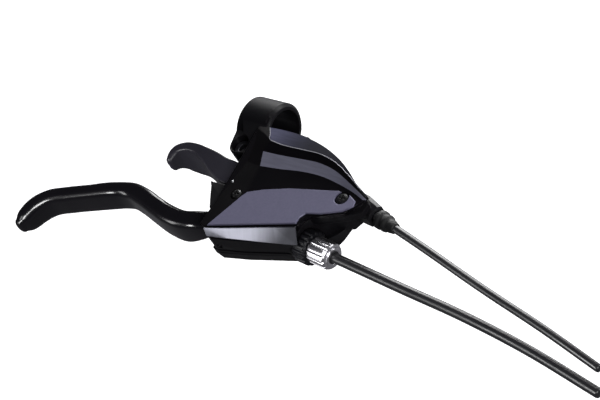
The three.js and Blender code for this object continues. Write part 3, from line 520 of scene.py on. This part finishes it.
def hull(points):
    """Convex outline around points in XY."""
    ordered = sorted(set((round(x, 5), round(y, 5)) for x, y in points))

    def half(points):
        chain = []
        for p in points:
            while len(chain) > 1:
                (ax, ay), (bx, by) = chain[-2:]
                if (bx - ax) * (p[1] - ay) - (by - ay) * (p[0] - ax) > 1e-9:
                    break
                chain.pop()
            chain.append(p)
        return chain[:-1]
    return half(ordered) + half(ordered[::-1])


def carve(obj, cutters):
    """Subtract the cutters, bake all modifiers into the mesh and delete the cutters."""
    for cutter in cutters:
        cut = obj.modifiers.new("cut", "BOOLEAN")
        cut.operation, cut.solver, cut.object = "DIFFERENCE", "EXACT", cutter
    bpy.context.view_layer.update()
    depsgraph = bpy.context.evaluated_depsgraph_get()
    baked = bpy.data.meshes.new_from_object(obj.evaluated_get(depsgraph))
    old = obj.data
    obj.modifiers.clear()
    obj.data = baked
    bpy.data.meshes.remove(old)
    for cutter in cutters:
        mesh = cutter.data
        bpy.data.objects.remove(cutter)
        bpy.data.meshes.remove(mesh)


def attach(obj, body, *replaced, slot=None):
    """Make the piece move with a body, and take the place of CAD pieces if any are named."""
    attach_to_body(obj, body)
    if replaced:
        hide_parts(*replaced)


def refine(node, body, material, bevel, angle=35):
    """Replace a CAD piece by its own surface, cleaned, with crisp edges and small bevels."""
    bm = bmesh.new()
    bm.from_mesh(cad_nodes[node].data)
    bmesh.ops.remove_doubles(bm, verts=bm.verts, dist=2e-6)
    bmesh.ops.dissolve_limit(bm, angle_limit=math.radians(1.0), verts=bm.verts, edges=bm.edges)
    bmesh.ops.recalc_face_normals(bm, faces=bm.faces)
    mesh = bpy.data.meshes.new(node + "_fine")
    bm.to_mesh(mesh)
    bm.free()
    mesh.shade_smooth()
    mesh.set_sharp_from_angle(angle=math.radians(angle))
    mesh.materials.append(MATERIALS[material])
    obj = add_object(node + "_fine", mesh)
    add_bevel(obj, bevel, segments=2, angle=angle)
    normals = obj.modifiers.new("flat_faces", "WEIGHTED_NORMAL")
    normals.keep_sharp, normals.weight, normals.mode = True, 60, "FACE_AREA"
    attach(obj, body, node)


# ------------------------------------------------------------------ brake lever
# blade columns, from the -X tip to the pivot
BRAKE_LEVER = [
    [-107.8, -83.6, 2.8, -9.6, -0.8, 2.4], [-107.2, -81.6, 4.2, -11, 0.6, 3.8],
    [-105.8, -78.4, 5, -11.6, 1.8, 4.4], [-102.8, -73.8, 5, -11.2, 3.2, 4.2],
    [-96.6, -68.8, 4.4, -10.2, 4.7, 3.8], [-86, -64.4, 4.2, -9.8, 5.3, 3.6],
    [-74, -60, 4.1, -9.8, 5.5, 3.5], [-64, -56.2, 4.2, -10, 5.6, 3.5],
    [-57.5, -54.1, 4.2, -10, 5.2, 3.5], [-51, -53.2, 4.5, -9.6, 5.2, 3.5],
    [-43, -54.6, 4.7, -9.6, 5.6, 3.5], [-32, -57.8, 4.7, -10.6, 5.8, 3.5],
    [-22, -60.2, 4.9, -11.2, 5.4, 3.4], [-13, -60.8, 5, -11.4, 4.8, 3.2],
    [-5, -58.8, 5.2, -8.6, 3.8, 2.6], [1.5, -55, 5.6, -5.7, 0.2, 1.5],
    [9, -49.4, 6.4, -5.7, -0.3, 1.2], [15, -41, 7, -5.7, -0.3, 1.2],
    [18.6, -30, 6.6, -5.7, -0.3, 1.2]]
attach(blade("brake_lever_smooth", BRAKE_LEVER, "lever", count=150, steps=8),
       "brake_lever", "brake_lever", slot="alloy")

# ------------------------------------------------------------------ release lever
# blade columns, from the -X tip to the root on the arm
RELEASE_PADDLE = [
    [-37.4, -34, 1.7, -1, 8.2, 1.6], [-37.2, -31.6, 2.3, -2.6, 9, 2],
    [-36, -28.4, 2.5, -6.2, 9.4, 1.5], [-32.4, -25.8, 2.5, -10.6, 9.4, 1.1],
    [-26, -24.9, 2.5, -12.8, 9.3, 0.9], [-19.6, -26.2, 3.2, -13.6, 9.3, 0.9],
    [-12.6, -28.4, 4.4, -13.8, 9.2, 0.9], [-6, -31, 5.5, -12, 8.9, 0.9],
    [-0.5, -32.4, 6.4, -4.6, 8.4, 0.8], [4.7, -33.2, 6.2, 0.3, 7.9, 0.8]]
# cut away from the root's -Y side, below the paddle's top
PADDLE_CUT = [(-14, -35), (-4, -36.6), (8, -37), (8, -50), (-14, -50)]
paddle = blade("release_paddle_smooth", RELEASE_PADDLE, "paddle", count=90, steps=6,
               dome_end=False)
carve(paddle, [prism("cutter", PADDLE_CUT, -20, 4.9, "paddle", bevel=0)])
attach(paddle, "release_lever", "release_lever", slot="plastic")

# flat links: name, round end and round end as (x, y, radius), bottom z, top z
RELEASE_LINKS = [("release_arm", (19, -26.5, 5.4), (4, -32, 6.2), 0.3, 3.6),
                 ("release_tail", (19, -26, 3.2), (31.4, -25.2, 2.2), 0.35, 3.55)]
for name, end_a, end_b, bottom, top in RELEASE_LINKS:
    attach(prism(name, hull(circle(*end_a) + circle(*end_b)), bottom, top, "dark"),
           "release_lever")

# ------------------------------------------------------------------ thumb pad
# blade columns, from the +X end to the -X end
THUMB_PAD = [
    [6, 10.4, 1.6, -27, -18.6, 1.4], [4.4, 9.6, 2.1, -28.2, -17.6, 1.9],
    [-1, 9, 2.8, -29.4, -17, 2.2], [-9, 10.2, 3, -30.6, -17, 2.4],
    [-17, 13.6, 2.6, -30.4, -17.6, 2.2], [-21.6, 17.4, 1.9, -28.8, -18.8, 1.8],
    [-22.6, 18.6, 1.4, -28, -19.4, 1.3]]
PAD_BOSS = [(0, 0), (3.8, 0), (4.3, 0.5), (4.4, 1.2), (4.4, 9), (4.2, 9.7), (3.8, 10), (2.6, 10)]
attach(blade("thumb_pad_smooth", THUMB_PAD, "paddle", count=70, steps=7),
       "thumb_lever", "thumb_pad", slot="plastic")
attach(turned("thumb_pad_boss", (-3, 7, -28), (0, 0, 1), PAD_BOSS, "paddle", sides=48),
       "thumb_lever")

# ------------------------------------------------------------------ top cover
# Crease lines from the +Y edge to the -Y edge, each running towards +X:
# two points of the plain -X end, then the stops of a smooth curve, all (x, y, z).
CREASES = [
    ([(4, -6, 12), (8, -6.1, 12.4)],
     [(11.3, -6.2, 12.6), (23.5, -5.9, 12.6), (36.6, -7, 12.6), (51.2, -10.6, 12.6),
      (64.1, -16.4, 12.6), (73.7, -22.8, 12.3), (84, -28, 11)]),
    ([(6, -9, 13.5), (12.5, -11.4, 14.8)],
     [(18.6, -14.4, 15.5), (25.2, -15.3, 15.5), (37.5, -15.3, 15.5), (49.6, -15.2, 15.5),
      (59.1, -17, 15.2), (68.7, -20.9, 14.5), (85, -29.3, 11.6)]),
    ([(8.5, -16, 12.5), (12.6, -18.2, 13)],
     [(16.7, -20.1, 13.3), (27.2, -20, 13.5), (39, -19.3, 13.5), (50.7, -18.9, 13.5),
      (60.9, -20.6, 13.5), (72.6, -25, 13), (85.4, -30.4, 11.6)]),
    ([(9.4, -26, 10.6), (14, -26.8, 10.9)],
     [(18.1, -27, 11), (29.8, -25.9, 11), (41.1, -24.4, 11), (53.1, -24.1, 11),
      (66.3, -26, 11), (77, -28.6, 11), (85.2, -31.6, 11.2)]),
    ([(8.2, -35, 10.6), (14, -37.5, 10.6)],
     [(19.4, -41.4, 10.6), (27.6, -38.0, 10.6), (41.8, -33.6, 10.6), (57, -30.6, 10.6),
      (69, -28.6, 10.6), (77, -29.6, 10.6), (84.6, -33.6, 10.8)]),
    ([(6.2, -50, 10.5), (10, -52.6, 10.6)],
     [(14, -56, 10.6), (30, -53, 10.6), (44, -49, 10.6), (56, -46, 10.6),
      (67, -43.2, 10.6), (77, -39.2, 10.5), (82.6, -36.4, 10.5)]),
    ([(5.6, -64.2, 10.4), (7.6, -65.0, 10.5)],
     [(9.4, -65.6, 10.6), (24, -62, 10.6), (40, -57.5, 10.6), (52, -53.9, 10.6),
      (56.9, -52.4, 10.6), (57.7, -52.0, 10.6), (57.9, -51.2, 10.6), (58.2, -48.7, 10.6),
      (67.2, -44.2, 10.5), (77, -40, 10.4)]),
]
CURVE_POINTS = 44
COVER_BOTTOM = 8.4
COVER_CREASE = 9                       # degrees; sharper edges are bevelled and stay crisp
COVER_MATERIALS = ["gloss", "facet_painted_reflection", "facet", "plastic"]
STRIP_MATERIALS = {1: 1, 3: 2}         # strip between rows -> coloured facet, others gloss
# round wells: x, y, radius, bottom z, top z
COVER_WELLS = [(15, -44.5, 3.0, 9.2, 20), (72, -32.6, 3.7, 9.0, 20), (-1.6, -17.4, 6.0, 0, 30)]

creases = [end + spline(stops, CURVE_POINTS) for end, stops in CREASES]
end_columns = len(CREASES[0][0])
columns = end_columns + CURVE_POINTS
rows = [[(x, y + 0.1, COVER_BOTTOM) for x, y, _ in creases[0]], *creases,
        [(x, y, COVER_BOTTOM) for x, y, _ in creases[-1]]]
faces, face_materials = [], []
for r in range(len(rows) - 1):
    for c in range(columns - 1):
        corner = r * columns + c
        faces.append((corner, corner + 1, corner + columns + 1, corner + columns))
        face_materials.append(3 if c < end_columns else STRIP_MATERIALS.get(r, 0))
low_x_end = [r * columns for r in range(len(rows))]
high_x_end = [start + columns - 1 for start in low_x_end]
underside = [low_x_end[-1] + c for c in range(columns)] + list(range(columns))[::-1]
faces += [low_x_end, high_x_end[::-1], underside]
face_materials += [0, 0, 0]
cover = new_mesh("top_cover_shell", [p for row in rows for p in row], faces, COVER_MATERIALS,
                 smooth=False, face_materials=face_materials)
add_bevel(cover, 0.35, segments=3, angle=COVER_CREASE)
carve(cover, [prism("cutter", circle(x, y, radius, 48), bottom, top, "gloss", bevel=0)
              for x, y, radius, bottom, top in COVER_WELLS])
cover.data.shade_smooth()
cover.data.set_sharp_from_angle(angle=math.radians(COVER_CREASE))
attach(cover, "housing", "top_cover", slot="plastic")

# painted highlight: a thin bright tube down the +Y facet's -X end and along its -Y edge, where the
# bevel catches the light
upper, lower = creases[:2]
highlight_path = [upper[2], [(a + b) / 2 for a, b in zip(upper[2], lower[2])], lower[2]]
highlight_path += [lower[i] for i in range(3, columns - 1, 3)]
attach(hose("facet_painted_highlight", highlight_path, 0.2, "line", count=160, sides=8, end_step=0.1),
       "housing")
RIVET = [(0.8, 0), (0.8, 0.25), (0.55, 0.5), (0.0, 0.58)]
attach(turned("cover_rivet", (8.4, -38.6, 10.4), (0, 0, 1), RIVET, "steel", sides=24), "housing")

# ------------------------------------------------------------------ refined CAD pieces
# node, body it rides, material, bevel width in mm, crease angle in degrees where not the default
REFINED = [
    ("name_plate", "housing", "plate", 0.18, 30),
    ("front_trim", "housing", "silver", 0.22, 25),
    ("bracket", "housing", "paint", 0.3, 32),
    ("lower_cover", "housing", "plastic", 0.3, 32),
    ("clamp_bolt", "housing", "mech", 0.2),
    ("clamp_nut", "housing", "steel", 0.15),
    ("cover_screw_left", "housing", "screw", 0.1),
    ("cover_screw_right", "housing", "screw", 0.1),
    ("brake_pivot_pin", "housing", "steel", 0.12),
    ("pivot_clip", "housing", "dark", 0.08),
    ("shift_axle", "housing", "steel", 0.15),
    ("axle_nut", "housing", "steel", 0.12),
    ("shift_base_plate", "housing", "dark", 0.15),
    ("lower_cover_screw_a", "housing", "dark", 0.1),
    ("lower_cover_screw_b", "housing", "dark", 0.1),
    ("thumb_lever", "thumb_lever", "dark", 0.3),
    ("thumb_pad_screw", "thumb_lever", "steel", 0.2),
    ("cable_drum", "drum", "nylon", 0.15),
    ("index_ratchet", "drum", "steel", 0.08),
    ("reach_adjust_screw", "reach_screw", "dark", 0.1),
    ("brake_casing_ferrule", "brake_casing", "dark", 0.12),
    ("brake_cable_nipple", "brake_lever", "steel", 0.2),
    ("hold_pawl", "hold_pawl", "steel", 0.1),
    ("drive_pawl", "drive_pawl", "steel", 0.1),
]
for entry in REFINED:
    refine(*entry)

# ------------------------------------------------------------------ casings, boot, adjuster
BRAKE_ANGLE = math.radians(-7.5)       # of the adjuster's axis from +X
BRAKE_ORIGIN = (68.5, -55.3, -3.0)
BRAKE_AXIS = (math.cos(BRAKE_ANGLE), math.sin(BRAKE_ANGLE), 0)
SHIFT_ANGLE = math.radians(-15.5)      # of the shift cable's exit from +X
SHIFT_ORIGIN = (88.4, -32.2, 1.0)
SHIFT_AXIS = (math.cos(SHIFT_ANGLE), math.sin(SHIFT_ANGLE), 0)


def on_brake_axis(x):
    """The adjuster axis's point at a given x."""
    x0, y0, z0 = BRAKE_ORIGIN
    return (x, y0 + (x - x0) * math.tan(BRAKE_ANGLE), z0)


def on_shift_axis(distance):
    return tuple(o + d * distance for o, d in zip(SHIFT_ORIGIN, SHIFT_AXIS))


BRAKE_CASING = [on_brake_axis(68.6), on_brake_axis(74), on_brake_axis(84), (118.8, -61.7, -4),
                (153.8, -64.8, -8), (187.5, -68.7, -14), (229, -76, -22)]
SHIFT_CASING = [on_shift_axis(1.5), on_shift_axis(12), (119.2, -40.6, 0), (158.8, -51.2, -4),
                (195.1, -59.5, -10), (225.2, -66.5, -18)]
# turned profiles: (radius, distance along the axis)
BOOT = [(2.2, 0.05), (4.3, 0), (4.6, 0.4), (4.6, 2.3), (4.3, 2.8), (3.9, 3.3), (3.9, 4.4),
        (4.15, 4.8), (4.3, 5.3), (4.1, 6.3), (3.5, 6.9), (3.3, 7.4), (3.15, 8.4), (3.2, 9.2),
        (2.9, 9.8), (2.75, 11.0), (2.5, 11.5), (2.1, 11.6)]
COLLAR = [(2.7, 0), (4.7, 0), (4.75, 0.3), (4.5, 0.75), (4.1, 0.95), (3.5, 0.9), (3.1, 0.6),
          (2.7, 0.2)]
STEM = [(1.2, 0), (4.2, 0), (4.2, 18), (1.2, 18)]

attach(hose("brake_casing_smooth", BRAKE_CASING, 2.5, "casing", count=150, sides=28),
       "brake_casing", "brake_cable_casing", slot="rubber")
attach(hose("shift_casing_smooth", SHIFT_CASING, 2.0, "casing", count=130, sides=24),
       "housing", "shift_cable_casing", slot="rubber")
attach(turned("shift_boot_smooth", on_shift_axis(1.4), SHIFT_AXIS, BOOT, "rubber"),
       "housing", "shift_cable_boot", slot="rubber")
attach(fluted("lock_ring_fine", on_brake_axis(55.8), BRAKE_AXIS, "knurl", length=7.1,
              groove_radius=7.7, ridge_radius=8.45, ridges=18, duty=0.5, soft=0.25, chamfer=0.6),
       "lock_ring", "adjuster_lock_ring", slot="plastic")
attach(fluted("barrel_fine", on_brake_axis(63.4), BRAKE_AXIS, "chrome", length=11.6,
              groove_radius=5.8, ridge_radius=6.6, ridges=12, duty=0.66, soft=0.26, chamfer=0.7,
              rounding=2.0),
       "barrel_adjuster", "barrel_adjuster", slot="chrome")
attach(turned("barrel_collar", on_brake_axis(74.9), BRAKE_AXIS, COLLAR, "chrome"),
       "barrel_adjuster")
attach(turned("barrel_stem", on_brake_axis(46), BRAKE_AXIS, STEM, "steel", sides=48),
       "barrel_adjuster")

# ------------------------------------------------------------------ light linking
# collection, its lights, whether they light only (INCLUDE) or skip (EXCLUDE) the pieces, pieces
LIGHT_LINKS = [
    ("not_lit_by_key", ["key"], "EXCLUDE", ["brake_lever_smooth", "release_paddle_smooth"]),
    ("not_lit_by_fills", ["rider_fill", "far_fill"], "EXCLUDE",
     ["top_cover_shell", "facet_painted_highlight"]),
    ("lit_by_chrome_card", ["chrome_card"], "INCLUDE", ["barrel_fine", "barrel_collar"]),
    ("lit_by_strips", ["side_strip", "side_strip_front"], "INCLUDE",
     ["brake_lever_smooth", "release_paddle_smooth", "brake_casing_smooth",
      "shift_casing_smooth", "lock_ring_fine", "barrel_fine", "thumb_pad_smooth"]),
    ("lit_by_card", ["bright_metal_card"], "INCLUDE",
     ["front_trim_fine", "barrel_fine", "barrel_collar", "facet_painted_highlight"]),
]
for collection_name, light_names, state, pieces in LIGHT_LINKS:
    collection = bpy.data.collections.new(collection_name)
    for light_name in light_names:
        lights[light_name].light_linking.receiver_collection = collection
    for piece in pieces:
        collection.objects.link(bpy.data.objects[piece])
    for member in collection.collection_objects:
        member.light_linking.link_state = state
